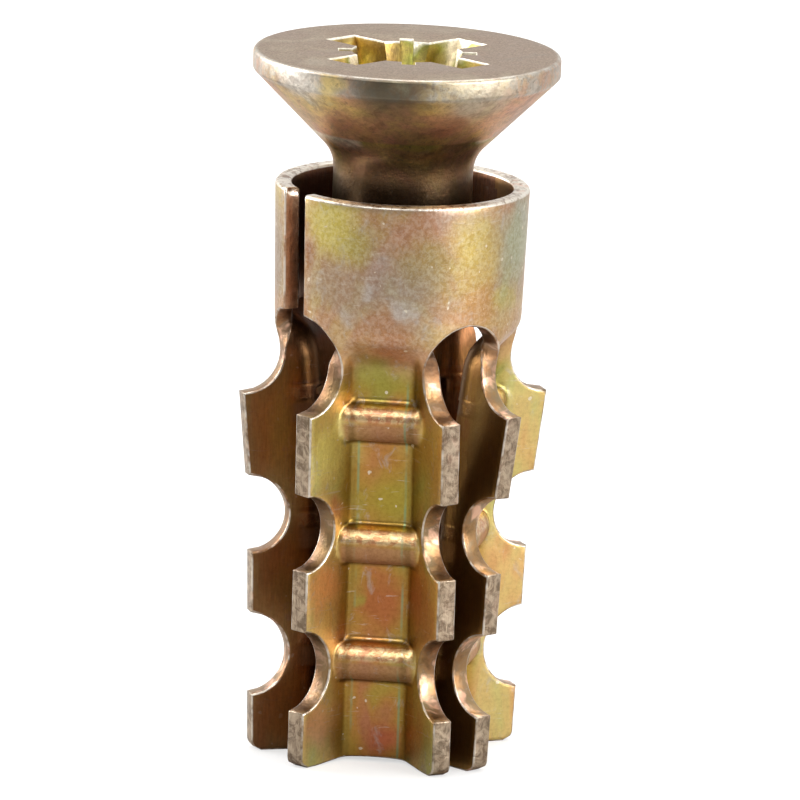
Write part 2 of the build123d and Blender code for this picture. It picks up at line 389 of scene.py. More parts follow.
def join_rings(rings, path, columns, seams, faces):
    """Close the sheared edges, but not where one leg's collar runs on into the next."""
    for (low, low_run, low_z), (high, high_run, high_z) in zip(rings, rings[1:]):
        for a, b in zip(path, path[1:] + path[:1]):
            side = a[1] == b[1] and a[1] in (0, columns - 1)
            seam = seams[0] if a[1] == 0 else seams[1]
            runs = [abs(low_run[a]), abs(low_run[b]), abs(high_run[a]), abs(high_run[b])]
            lowest = min(low_z[a], low_z[b], high_z[a], high_z[b])
            joined = side and not seam and min(runs) > FULL_RUN - TOLERANCE and lowest > THROAT_HEIGHT
            if not joined:
                faces.append([low[b], low[a], high[a], high[b]])


def plain_object(name, verts, faces):
    mesh = bpy.data.meshes.new(name)
    mesh.from_pydata(verts, [], faces)
    obj = bpy.data.objects.new(name, mesh)
    bpy.context.scene.collection.objects.link(obj)
    return obj


def write_mesh(work, mesh):
    """Write an edited mesh back, with smooth faces and in metres."""
    for face in work.faces:
        face.smooth = True
    bmesh.ops.scale(work, vec=Vector((MM, MM, MM)), verts=work.verts)
    work.to_mesh(mesh)
    work.free()


def build_sleeve():
    rows = row_heights()
    verts, faces, notes = [], [], []
    for number in range(LEG_COUNT):
        add_leg(number, rows, verts, faces, notes)
    sleeve = plain_object("folded_sleeve", [tuple(v) for v in verts], faces)
    for key, values in zip(NOTES, np.array(notes, dtype=float).T):
        layer = sleeve.data.attributes.new(key, "FLOAT", "POINT")
        layer.data.foreach_set("value", values)
    work = bmesh.new()
    work.from_mesh(sleeve.data)
    bmesh.ops.remove_doubles(work, verts=work.verts, dist=SLEEVE_WELD)
    bmesh.ops.recalc_face_normals(work, faces=work.faces)
    write_mesh(work, sleeve.data)
    return sleeve


# Screw mesh

def arc_points(middle, radius, first, last, count):
    """Points of an arc in the radius and height plane, angles in degrees."""
    return [
        (middle[0] + radius * math.cos(math.radians(a)), middle[1] + radius * math.sin(math.radians(a)))
        for a in np.linspace(first, last, count)
    ]


def head_profile():
    """Radius and height of the head, from the neck's foot over the 45 degree cone to the top's edge."""
    half_bend = math.tan(math.radians(45 / 2))
    cone_top = HEAD_TOP - HEAD_LAND
    cone_foot = cone_top - (HEAD_RADIUS - SHANK_RADIUS)
    neck = (SHANK_RADIUS + NECK_ROUND, cone_foot - NECK_ROUND * half_bend)
    points = arc_points(neck, NECK_ROUND, 180, 135, 10)
    reach = LAND_EDGE_ROUND * half_bend
    start_radius, start_z = points[-1]
    climb = HEAD_RADIUS - reach * math.cos(math.radians(45)) - start_radius
    points += [(start_radius + climb * share, start_z + climb * share) for share in (0.25, 0.5, 0.75)]
    points += arc_points((HEAD_RADIUS - LAND_EDGE_ROUND, cone_top + reach), LAND_EDGE_ROUND, -45, 0, 5)
    edge = (HEAD_RADIUS - HEAD_EDGE_ROUND, HEAD_TOP - HEAD_EDGE_ROUND)
    points += arc_points(edge, HEAD_EDGE_ROUND, 0, 90, 7)
    return points


def thread_radius(angle, z):
    """Radius of the threaded length, fading out under the neck and at the chamfered tip."""
    phase = (z / THREAD_PITCH - angle / (2 * math.pi)) % 1.0
    flank = np.clip((np.abs(phase - 0.5) * 2 - THREAD_FLAT) / (1 - 2 * THREAD_FLAT), 0, 1)
    fade = np.clip((THREAD_TOP - z) / THREAD_RUNOUT, 0, 1)
    low = SHANK_RADIUS + (THREAD_ROOT - SHANK_RADIUS) * fade
    high = SHANK_RADIUS + (THREAD_CREST - SHANK_RADIUS) * fade
    radius = low + (high - low) * flank
    return np.minimum(radius, THREAD_CREST - TIP_CHAMFER + np.maximum(z - SCREW_TIP, 0))


def build_screw_blank():
    """The turned and threaded screw, before its recess."""
    angles = np.linspace(0, 2 * math.pi, SCREW_SEGMENTS, endpoint=False)
    profile = head_profile()
    count = int((profile[0][1] - SCREW_TIP) / THREAD_PITCH * THREAD_ROWS)
    verts, faces = [], []
    for z in np.linspace(SCREW_TIP, profile[0][1], count):
        for angle, radius in zip(angles, thread_radius(angles, z)):
            verts.append((radius * math.cos(angle), radius * math.sin(angle), z))
    for radius, z in profile[1:]:
        verts += [(radius * math.cos(a), radius * math.sin(a), z) for a in angles]
    total = len(verts) // SCREW_SEGMENTS
    for row in range(total - 1):
        for k in range(SCREW_SEGMENTS):
            a = row * SCREW_SEGMENTS + k
            b = row * SCREW_SEGMENTS + (k + 1) % SCREW_SEGMENTS
            faces.append([a, b, b + SCREW_SEGMENTS, a + SCREW_SEGMENTS])
    faces.append(list(range(SCREW_SEGMENTS))[::-1])
    faces.append(list(range((total - 1) * SCREW_SEGMENTS, total * SCREW_SEGMENTS)))
    return verts, faces


def prism(low, high):
    """A closed cutter between two outlines with as many points."""
    count = len(low)
    faces = [[k, (k + 1) % count, count + (k + 1) % count, count + k] for k in range(count)]
    faces.append(list(range(count))[::-1])
    faces.append(list(range(count, 2 * count)))
    return low + high, faces


def round_outline(radius, z):
    angles = np.linspace(0, 2 * math.pi, RECESS_SEGMENTS, endpoint=False)
    return [(radius * math.cos(a), radius * math.sin(a), z) for a in angles]


def bar_outline(reach, width, z, turn):
    corners = [(-reach, -width / 2), (reach, -width / 2), (reach, width / 2), (-reach, width / 2)]
    c, s = math.cos(turn), math.sin(turn)
    return [(x * c - y * s, x * s + y * c, z) for x, y in corners]


def recess_cutters():
    """Closed solids that together leave the cross recess, running past the head's top."""
    foot = HEAD_TOP - RECESS_DEPTH
    top = HEAD_TOP + CUTTER_OVERLAP
    grow = 1 + CUTTER_OVERLAP / RECESS_DEPTH
    core_top = RECESS_CORE_FOOT_RADIUS + (RECESS_CORE_RADIUS - RECESS_CORE_FOOT_RADIUS) * grow
    yield prism(round_outline(RECESS_CORE_FOOT_RADIUS, foot), round_outline(core_top, top))
    point = round_outline(RECESS_POINT_RADIUS, foot - RECESS_FLOOR_CONE)
    yield prism(point, round_outline(RECESS_CORE_FOOT_RADIUS, foot + 0.01))
    for start, (reach, foot_reach, width) in ((0, RECESS_ARM), (math.pi / 4, RECESS_RIB)):
        top_reach = foot_reach + (reach - foot_reach) * grow
        for turn in (0, math.pi / 2):
            angle = RECESS_TURN + start + turn
            low = bar_outline(foot_reach, width, foot, angle)
            yield prism(low, bar_outline(top_reach, width, top, angle))


def cut_recess(screw):
    """Cut the recess out of the screw's head with exact booleans."""
    for number, (verts, faces) in enumerate(recess_cutters()):
        cutter = plain_object(f"cutter_{number}", verts, faces)
        cut = screw.modifiers.new("cut", "BOOLEAN")
        cut.operation = "DIFFERENCE"
        cut.solver = "EXACT"
        cut.object = cutter
        bpy.context.view_layer.update()
        result = screw.evaluated_get(bpy.context.evaluated_depsgraph_get())
        mesh = bpy.data.meshes.new_from_object(result)
        screw.modifiers.clear()
        old = screw.data
        screw.data = mesh
        bpy.data.meshes.remove(old)
        cutter_mesh = cutter.data
        bpy.data.objects.remove(cutter)
        bpy.data.meshes.remove(cutter_mesh)


def is_mouth_edge(edge):
    """True for an edge where a recess wall meets the head's flat top."""
    level = all(abs(v.co.z - HEAD_TOP) < LEVEL_TOLERANCE for v in edge.verts)
    inside = all(v.co.xy.length < HEAD_RADIUS - 2 * HEAD_EDGE_ROUND for v in edge.verts)
    return level and inside and len(edge.link_faces) == 2 and edge.calc_face_angle(0) > MOUTH_ANGLE


def build_screw():
    verts, faces = build_screw_blank()
    screw = plain_object("turned_screw", verts, faces)
    cut_recess(screw)
    work = bmesh.new()
    work.from_mesh(screw.data)
    bmesh.ops.remove_doubles(work, verts=work.verts, dist=SCREW_WELD)
    mouth = [edge for edge in work.edges if is_mouth_edge(edge)]
    bmesh.ops.bevel(
        work, geom=mouth, offset=RECESS_EDGE_ROUND, offset_type="OFFSET", segments=3, profile=0.5,
        affect="EDGES", clamp_overlap=True,
    )
    for edge in work.edges:
        edge.smooth = edge.calc_face_angle(0) < SHARP_ANGLE
    write_mesh(work, screw.data)
    return screw


# Colours

def linear(red, green, blue):
    """A display colour from 0 to 255 as the linear colour that renders as it."""
    def channel(value):
        value /= 255
        return value / 12.92 if value <= 0.04045 else ((value + 0.055) / 1.055) ** 2.4
    return channel(red), channel(green), channel(blue)


# Interference colours of the passivated zinc, as stops along a noise
COLLAR_FILM = (
    (0.00, linear(176, 170, 160)),
    (0.22, linear(190, 150, 122)),
    (0.42, linear(182, 146, 104)),
    (0.60, linear(196, 176, 104)),
    (0.76, linear(186, 182, 116)),
    (1.00, linear(168, 180, 146)),
)
LEG_FILM = (
    (0.00, linear(182, 122, 86)),
    (0.20, linear(184, 132, 72)),
    (0.40, linear(176, 140, 66)),
    (0.60, linear(166, 144, 70)),
    (0.80, linear(150, 146, 80)),
    (1.00, linear(196, 166, 92)),
)
WING_FILM = (
    (0.34, linear(214, 164, 112)),
    (0.48, linear(220, 194, 130)),
    (0.62, linear(206, 204, 134)),
)
PUNCHED_FILM = (
    (0.30, linear(96, 70, 52)),
    (0.46, linear(150, 112, 80)),
    (0.56, linear(134, 112, 92)),
    (0.66, linear(232, 184, 158)),
)
SCREW_FILM = (
    (0.00, linear(176, 164, 146)),
    (0.30, linear(204, 152, 120)),
    (0.55, linear(196, 156, 110)),
    (0.80, linear(206, 176, 108)),
    (1.00, linear(178, 166, 130)),
)
# In the recess the dark olive stop is painted shade and the near white one painted glints, besides the
# film's colours
RECESS_FILM_SHADE_AND_GLINTS = (
    (0.36, linear(116, 94, 44)),
    (0.46, linear(206, 182, 98)),
    (0.54, linear(142, 152, 64)),
    (0.63, linear(242, 236, 216)),
)

# Single colours and pairs of the sleeve
NECK_COPPER = linear(208, 160, 122)
# Painted light and shade on the beads: shade on the lower halves, dappled light on the upper halves, shade
# in the creases round them
BEAD_UNDERSIDE_PAINTED_SHADE = linear(180, 138, 102)
BEAD_TOP_PAINTED_LIGHT = (linear(212, 152, 116), linear(244, 216, 168))
BEAD_CREASE_PAINTED_SHADE = linear(84, 60, 30)
# Painted shade along the folds of the legs
FOLD_PAINTED_SHADE = linear(104, 84, 38)
FOLD_GREEN = linear(112, 160, 128)
COLLAR_GRAIN = (linear(140, 96, 66), linear(216, 212, 204))
SCUFF_GREY = linear(186, 182, 178)
SCRATCH_PALE = linear(214, 204, 190)
PIT_BRIGHT = linear(236, 228, 208)
GRIME = linear(150, 122, 88)
# Painted shade on the inward faces, deeper on the left leg, and painted light on the right leg's inward
# faces
INSIDE_PAINTED_SHADE = (linear(88, 54, 34), linear(122, 76, 48))
INSIDE_LEFT_PAINTED_SHADE = linear(70, 40, 26)
INSIDE_RIGHT_PAINTED_LIGHT = (linear(150, 96, 52), linear(176, 140, 72))
SHEARED_GRAIN = (linear(112, 98, 84), linear(192, 175, 153))
SEAM_COPPER = (linear(120, 76, 50), linear(226, 170, 128))
# Painted shade on the notch walls of the front leg's left wing
PUNCHED_LEFT_PAINTED_SHADE = linear(96, 72, 56)
# A painted highlight along the collar's rim
RIM_PAINTED_HIGHLIGHT = linear(228, 220, 206)
# A thin painted highlight line along the rounded edges
EDGE_PAINTED_HIGHLIGHT = linear(232, 226, 214)

# Single colours and pairs of the screw
TOP_TAUPE = (linear(104, 92, 80), linear(140, 126, 111))
TOP_SHEEN = linear(196, 186, 170)
HEAD_RIM = linear(196, 194, 186)
# A painted highlight round the recess's mouth
RECESS_LIP_PAINTED_HIGHLIGHT = linear(250, 246, 230)
# Painted shadow of the head on the shank
SHANK_PAINTED_SHADOW = linear(54, 43, 28)
BLOTCH_BROWN = linear(106, 78, 56)
DUST_BROWN = linear(96, 80, 64)
SPECK_GREY = linear(104, 92, 78)

# Where a film shows another colour, and on the screw also painted reflections and highlights: middle in
# millimetres, radius, colour and strength
SLEEVE_PATCHES = (
    ((-2.7, -5.9, 28.65), 2.1, linear(214, 200, 104), 0.9),
    ((-4.5, -4.8, 28.6), 0.7, linear(150, 104, 66), 0.6),
    ((-4.5, -4.8, 26.6), 0.9, linear(140, 90, 56), 0.7),
    ((-4.5, -4.7, 24.4), 0.9, linear(146, 92, 54), 0.7),
    ((-1.18, -6.39, 27.6), 1.3, linear(176, 168, 88), 0.6),
    ((2.1, -6.15, 26.6), 1.9, linear(158, 150, 78), 0.6),
    ((4.59, -4.61, 28.4), 1.9, linear(200, 182, 100), 0.8),
    ((4.9, -4.28, 26.4), 1.7, linear(206, 186, 96), 0.6),
    ((6.3, -1.6, 27.4), 2.6, linear(168, 180, 146), 0.85),
    ((4.9, -4.28, 24.4), 1.4, linear(200, 154, 92), 0.7),
    ((-6.3, -1.6, 26.0), 3.0, linear(150, 134, 112), 0.8),
    ((0.39, -6.49, 24.9), 2.6, linear(158, 148, 144), 0.6),
    ((-2.84, -5.85, 25.4), 1.9, linear(174, 152, 128), 0.7),
    ((1.27, -6.37, 28.9), 2.0, linear(178, 132, 104), 0.6),
    ((0.2, -6.2, 22.9), 2.0, linear(190, 132, 92), 0.7),
    ((1.0, -6.4, 24.3), 0.8, linear(200, 198, 196), 0.6),
    ((-0.9, -6.4, 25.3), 0.6, linear(204, 200, 196), 0.5),
    ((-2.0, -6.2, 23.8), 0.6, linear(196, 194, 192), 0.5),
    ((0.13, -4.0, 8.5), 1.8, linear(174, 100, 64), 0.8),
    ((0.6, -3.55, 1.2), 1.3, linear(188, 104, 74), 0.8),
    ((0.2, -3.9, 3.9), 1.0, linear(170, 158, 70), 0.6),
    ((-0.9, -4.1, 8.8), 0.5, linear(160, 158, 72), 0.6),
    ((0.3, -4.3, 14.0), 1.7, linear(166, 150, 62), 0.8),
    ((0.7, -4.5, 16.2), 1.3, linear(176, 128, 62), 0.6),
    ((-2.6, -5.6, 9.6), 1.5, linear(246, 184, 122), 0.8),
    ((-2.3, -5.2, 7.6), 1.0, linear(222, 186, 112), 0.7),
    ((-2.7, -5.4, 2.2), 1.5, linear(242, 192, 150), 0.8),
    ((-2.6, -5.9, 16.9), 2.2, linear(240, 232, 150), 0.85),
    ((-2.0, -5.2, 13.6), 0.9, linear(190, 120, 90), 0.7),
    ((-0.16, -4.95, 20.2), 1.7, linear(150, 152, 66), 0.8),
    ((2.2, -5.1, 17.0), 1.6, linear(196, 176, 106), 0.6),
    ((2.4, -5.1, 8.6), 1.4, linear(190, 154, 104), 0.6),
)
SCREW_FILM_AND_PAINTED_LIGHT_PATCHES = (
    # A painted reflection: the dark patch on the front of the head's land
    ((0.0, -7.9, 36.1), 2.5, linear(86, 82, 68), 0.92),
    ((0.5, -7.9, 36.3), 0.6, linear(150, 144, 120), 0.6),
    ((-2.9, -7.3, 36.0), 0.9, linear(226, 204, 132), 0.75),
    # Painted highlights on the head's land, left and right
    ((-4.9, -6.2, 36.1), 1.7, linear(236, 230, 220), 0.85),
    ((4.6, -6.5, 36.0), 2.4, linear(184, 176, 156), 0.8),
    ((-2.6, -4.9, 34.3), 1.3, linear(150, 92, 74), 0.7),
    ((2.6, -5.0, 34.3), 1.5, linear(160, 98, 76), 0.6),
    # Painted highlights, gold, on the head's neck
    ((-3.0, -2.6, 32.6), 0.6, linear(214, 162, 84), 0.7),
    ((3.6, -3.6, 33.7), 0.6, linear(222, 178, 96), 0.7),
)
PATCH_RAGGEDNESS = 2.2


# Shader nodes

class Nodes:
    """A small helper that fills the tree of a material or a world with linked nodes."""

    def __init__(self, owner):
        owner.use_nodes = True
        self.owner = owner
        self.tree = owner.node_tree
        self.tree.nodes.clear()

    def add(self, kind, inputs=None, **settings):
        node = self.tree.nodes.new(kind)
        for key, value in settings.items():
            setattr(node, key, value)
        for key, value in (inputs or {}).items():
            self.feed(node.inputs[key], value)
        return node

    def feed(self, socket, value):
        if isinstance(value, bpy.types.NodeSocket):
            self.tree.links.new(value, socket)
        else:
            socket.default_value = value

    def math(self, operation, *values):
        return self.add("ShaderNodeMath", dict(enumerate(values)), operation=operation).outputs[0]

    def plus(self, a, b):
        return self.math("ADD", a, b)

    def minus(self, a, b):
        return self.math("SUBTRACT", a, b)

    def times(self, a, b):
        return self.math("MULTIPLY", a, b)

    def most(self, a, b):
        return self.math("MAXIMUM", a, b)

    def absolute(self, value):
        return self.math("ABSOLUTE", value)

    def total(self, first, *others):
        """The first value with the others added to it, each given with its weight."""
        for value, weight in others:
            first = self.plus(first, self.times(value, weight))
        return first

    def rise(self, value, low, high):
        """0 up to low and 1 from high on, smooth between. With low over high it runs the other way."""
        inputs = {"Value": value, "From Min": low, "From Max": high}
        node = self.add("ShaderNodeMapRange", inputs, interpolation_type="SMOOTHSTEP", clamp=True)
        return node.outputs["Result"]

    def fall(self, value, low, high):
        """1 up to low and 0 from high on, smooth between."""
        return self.minus(1.0, self.rise(value, low, high))

    def vector(self, operation, inputs, output=0):
        return self.add("ShaderNodeVectorMath", inputs, operation=operation).outputs[output]

    def stretch(self, where, scale):
        return self.add("ShaderNodeMapping", {"Vector": where, "Scale": scale}).outputs["Vector"]

    def noise(self, where, scale, detail=3.0, roughness=0.55, distortion=0.0):
        inputs = {
            "Vector": where, "Scale": scale, "Detail": detail,
            "Roughness": roughness, "Distortion": distortion,
        }
        return self.add("ShaderNodeTexNoise", inputs).outputs["Fac"]

    def attribute(self, name):
        return self.add("ShaderNodeAttribute", attribute_name=name).outputs["Fac"]

    def ramp(self, factor, stops):
        node = self.add("ShaderNodeValToRGB", {"Fac": factor})
        points = node.color_ramp.elements
        while len(points) < len(stops):
            points.new(0.5)
        for point, (place, color) in zip(points, stops):
            point.position = place
            point.color = (*color, 1.0)
        return node.outputs["Color"]

    def mix(self, factor, first, second, mode="MIX"):
        node = self.add("ShaderNodeMix", data_type="RGBA", blend_type=mode)
        self.feed(node.inputs["Factor"], factor)
        for number, color in ((6, first), (7, second)):
            socket = isinstance(color, bpy.types.NodeSocket)
            self.feed(node.inputs[number], color if socket else (*color, 1.0))
        return node.outputs[2]

    def tint(self, color, mask, strength, other):
        """The colour with another one laid over it where the mask is 1, at that strength."""
        return self.mix(self.times(mask, strength), color, other)

    def metal(self, color, roughness, height):
        """Finish a material as a metal with that colour, roughness and relief."""
        relief = {"Height": height, "Strength": RELIEF_STRENGTH, "Distance": RELIEF_DEPTH}
        normal = self.add("ShaderNodeBump", relief).outputs["Normal"]
        shader = self.add("ShaderNodeBsdfPrincipled", {
            "Base Color": color, "Metallic": 1.0, "Roughness": roughness, "Normal": normal,
        })
        self.add("ShaderNodeOutputMaterial", {"Surface": shader.outputs[0]})
        return self.owner

    def two_shaders(self, factor, first, second):
        """The first shader where the factor is 0 and the second where it is 1."""
        inputs = {"Fac": factor, 1: first.outputs[0], 2: second.outputs[0]}
        return self.add("ShaderNodeMixShader", inputs).outputs[0]


def patches(n, where, color, places):
    """Soft blobs of other colours with ragged borders."""
    ragged = n.add("ShaderNodeTexNoise", {"Vector": where, "Scale": 520.0, "Detail": 3.0}).outputs["Color"]
    push = n.vector("SUBTRACT", {0: ragged, 1: (0.5, 0.5, 0.5)})
    push = n.vector("SCALE", {0: push, "Scale": PATCH_RAGGEDNESS * MM})
    warped = n.vector("ADD", {0: where, 1: push})
    for middle, radius, other, strength in places:
        place = tuple(c * MM for c in middle)
        away = n.vector("DISTANCE", {0: warped, 1: place}, "Value")
        inside = n.fall(away, 0.25 * radius * MM, 1.25 * radius * MM)
        color = n.tint(color, inside, strength, other)
    return color


# Sleeve material

def sheet_film(n, where, height, size):
    """The plated faces: pinker on the collar and in the middle of the legs, olive beside the folds."""
    cloud = n.noise(where, 150.0, 3.0, 0.5, 0.9)
    drift = n.noise(n.stretch(where, (1.0, 1.0, 0.4)), 420.0, 3.0, 0.55, 0.5)
    wave = n.total(n.times(cloud, 1.9), (drift, 0.7))
    collar = n.ramp(n.minus(wave, 0.93), COLLAR_FILM)
    off_middle = n.rise(size, 0.35, 1.3)
    leg = n.ramp(n.total(n.minus(wave, 1.02), (off_middle, 0.22)), LEG_FILM)
    wing = n.rise(size, 1.9, 2.8)
    leg = n.tint(leg, wing, 0.7, n.ramp(drift, WING_FILM))
    color = n.mix(n.rise(height, THROAT_HEIGHT - 1.2, THROAT_HEIGHT + 0.6), leg, collar)
    neck = n.rise(height, THROAT_HEIGHT - 1.0, THROAT_HEIGHT - 0.2)
    neck = n.times(neck, n.fall(height, COLLAR_FOOT + 1.0, COLLAR_FOOT + 1.8))
    color = n.tint(color, neck, 0.5, NECK_COPPER)
    return patches(n, where, color, SLEEVE_PATCHES)


def bead_masks(n, height, size):
    """Three masks for painted light and shade: the beads' upper halves, their lower halves and the creases
    round them.
    """
    upper, lower, crease = 0.0, 0.0, 0.0
    for middle in BEAD_HEIGHTS:
        above = n.minus(height, middle)
        upper = n.most(upper, n.times(n.rise(above, 0.05, 0.3), n.fall(above, 0.8, 1.0)))
        lower = n.most(lower, n.times(n.rise(above, -1.05, -0.9), n.fall(above, -0.1, 0.2)))
        off_crease = n.absolute(n.minus(n.absolute(above), 1.07))
        crease = n.most(crease, n.fall(off_crease, 0.03, 0.16))
    across = n.fall(size, 1.9, 2.5)
    return [n.times(mask, across) for mask in (upper, lower, crease)]


def fold_painted_shade(n, color, height, size):
    """A band of painted shade along each fold of the legs."""
    off_band = n.absolute(n.minus(size, FLAT_RUN + 0.6 * FOLD_RUN))
    below_neck = n.fall(height, THROAT_HEIGHT - 1.0, THROAT_HEIGHT + 1.0)
    return n.tint(color, n.times(n.fall(off_band, 0.08, 0.36), below_neck), 0.4, FOLD_PAINTED_SHADE)


def fold_line(n, where, color, height, size):
    """A broken green line where each fold of the legs begins."""
    line = n.fall(n.absolute(n.minus(size, FLAT_RUN)), 0.02, 0.1)
    line = n.times(line, n.rise(n.noise(where, 380.0, 2.0, 0.5), 0.42, 0.6))
    on_leg = n.fall(height, THROAT_HEIGHT - 1.5, THROAT_HEIGHT - 0.5)
    return n.tint(color, n.times(line, on_leg), 0.5, FOLD_GREEN)


def sheet_wear(n, where, color, fine):
    """Grey scuffs, fine scratches across the sheet, small bright pits and grime."""
    scuff = n.noise(n.stretch(where, (1.0, 1.0, 0.6)), 1100.0, 4.0, 0.7, 0.8)
    color = n.tint(color, n.rise(scuff, 0.56, 0.72), 0.42, SCUFF_GREY)
    scratch = n.noise(n.stretch(where, (0.5, 0.5, 6.0)), 900.0, 3.0, 0.6, 1.2)
    color = n.tint(color, n.rise(scratch, 0.64, 0.7), 0.35, SCRATCH_PALE)
    pit = n.noise(where, 2300.0, 1.0, 0.4)
    color = n.tint(color, n.rise(pit, 0.74, 0.78), 0.7, PIT_BRIGHT)
    return n.mix(n.times(n.rise(fine, 0.35, 0.8), 0.3), color, GRIME, "MULTIPLY")


def inside_painted_shade_and_light(n, stripe, leg):
    """The inward faces: a brown painted shade, deeper on the left leg, and painted light on the right one.
    """
    shade = n.mix(n.rise(stripe, 0.3, 0.7), *INSIDE_PAINTED_SHADE)
    left_leg = n.rise(leg, 2.4, 2.6)
    shade = n.tint(shade, left_leg, 0.5, INSIDE_LEFT_PAINTED_SHADE)
    right_leg = n.times(n.rise(leg, 0.4, 0.6), n.fall(leg, 1.4, 1.6))
    return n.tint(shade, right_leg, 0.7, n.mix(stripe, *INSIDE_RIGHT_PAINTED_LIGHT))


def punched_color(n, where, run, leg):
    """The walls of the notches, with painted shade on the front leg's left side."""
    color = n.ramp(n.noise(where, 800.0, 3.0, 0.6, 0.5), PUNCHED_FILM)
    elsewhere = n.most(n.rise(run, -0.2, 0.2), n.rise(leg, 0.4, 0.6))
    return n.tint(color, n.minus(1.0, elsewhere), 0.6, PUNCHED_LEFT_PAINTED_SHADE)


def sheared_color(n, where, stripe, mottle, on_collar):
    """The sheared ends of the teeth, and the warmer seam of the collar."""
    grain = n.total(n.times(stripe, 0.2), (n.noise(where, 1700.0, 4.0, 0.7, 0.8), 0.8))
    color = n.mix(n.rise(grain, 0.38, 0.62), *SHEARED_GRAIN)
    return n.tint(color, on_collar, 0.8, n.mix(mottle, *SEAM_COPPER))


def sleeve_material():
    n = Nodes(bpy.data.materials.new("yellow_zinc_sheet"))
    where = n.add("ShaderNodeTexCoord").outputs["Object"]
    run, height, inner, rounding, leg = [n.attribute(name) for name in NOTES]
    size = n.absolute(run)
    wall = n.rise(rounding, 0.0, 0.5)
    on_collar = n.rise(height, THROAT_HEIGHT, COLLAR_FOOT)
    fine = n.noise(where, 5200.0, 3.0, 0.65)
    mottle = n.noise(where, 2600.0, 4.0, 0.7, 0.6)
    stripe = n.noise(n.stretch(where, (3.0, 3.0, 0.25)), 4200.0, 3.0, 0.65)
    upper, lower, crease = bead_masks(n, height, size)

    color = sheet_film(n, where, height, size)
    # Painted shade on the beads' lower halves, painted light on their upper halves and painted shade in
    # their creases
    color = n.tint(color, lower, 0.8, BEAD_UNDERSIDE_PAINTED_SHADE)
    color = n.tint(color, upper, 0.7, n.mix(n.rise(mottle, 0.44, 0.56), *BEAD_TOP_PAINTED_LIGHT))
    color = n.tint(color, crease, 0.6, BEAD_CREASE_PAINTED_SHADE)
    # Painted shade along the legs' folds
    color = fold_painted_shade(n, color, height, size)
    grain = n.rise(n.noise(where, 4200.0, 4.0, 0.75, 0.4), 0.4, 0.62)
    color = n.tint(color, on_collar, 0.2, n.mix(grain, *COLLAR_GRAIN))
    color = sheet_wear(n, where, color, fine)
    color = fold_line(n, where, color, height, size)
    # Painted shade on the inward faces, with painted light on the right leg's
    color = n.tint(color, inner, 0.85, inside_painted_shade_and_light(n, stripe, leg))
    # Notch walls, with painted shade on the front leg's left wing
    color = n.tint(color, wall, 0.8, punched_color(n, where, run, leg))
    tip = n.times(wall, n.rise(size, FULL_RUN - 0.12, FULL_RUN - 0.02))
    color = n.tint(color, tip, 0.8, sheared_color(n, where, stripe, mottle, on_collar))
    # A painted highlight along the collar's rim, broken by noise
    rim = n.times(wall, n.rise(height, SLEEVE_HEIGHT - 0.6, SLEEVE_HEIGHT - 0.2))
    color = n.tint(color, rim, n.rise(mottle, 0.36, 0.56), RIM_PAINTED_HIGHLIGHT)
    # A thin painted highlight line along the rounded edges, broken by noise
    edge = n.times(n.rise(rounding, 0.1, 0.4), n.fall(rounding, 0.55, 0.9))
    wear_and_highlight_noise = n.rise(n.noise(where, 700.0, 3.0, 0.7), 0.4, 0.6)
    color = n.tint(color, n.times(edge, wear_and_highlight_noise), 0.7, EDGE_PAINTED_HIGHLIGHT)

    roughness = n.total(0.24, (fine, 0.22), (lower, 0.28))
    lump = n.total(n.noise(where, 900.0, 2.0, 0.5), (n.times(upper, mottle), 1.6))
    scratch = n.noise(n.stretch(where, (1.0, 1.0, 0.12)), 6000.0, 2.0, 0.6)
    relief = n.total(n.times(fine, 0.4), (scratch, 0.3), (lump, 1.1), (n.times(wall, mottle), 1.2))
    return n.metal(color, roughness, relief)


# Screw material

def top_color(n, where, cloud):
    """The head's flat top, a dull grainy taupe with a faint sheen."""
    grain = n.noise(where, 9000.0, 2.0, 0.7)
    taupe = n.mix(n.rise(grain, 0.35, 0.65), *TOP_TAUPE)
    return n.tint(taupe, n.rise(cloud, 0.5, 0.7), 0.16, TOP_SHEEN)


def recess_color(n, where, color, depth, radius, below_top):
    """Painted glints and painted shade on the recess's walls and a painted highlight round its mouth.
    Depth and radius in millimetres.
    """
    recess = n.times(n.fall(radius, RECESS_REACH, RECESS_REACH + 0.2), below_top)
    recess = n.times(recess, n.fall(depth, RECESS_DEPTH, RECESS_DEPTH + 1.0))
    # Painted glints and painted shade on the recess's walls, mixed with the film's colours
    color = n.tint(color, recess, 0.85, n.ramp(n.noise(where, 420.0, 1.0, 0.4, 0.3), RECESS_FILM_SHADE_AND_GLINTS))
    # A painted highlight round the recess's mouth
    lip = n.times(n.fall(depth, 0.08, 0.14), n.fall(radius, RECESS_REACH + 0.2, RECESS_REACH + 0.4))
    lip = n.times(lip, n.rise(depth, 0.002, 0.02))
    return n.tint(color, lip, 0.85, RECESS_LIP_PAINTED_HIGHLIGHT)


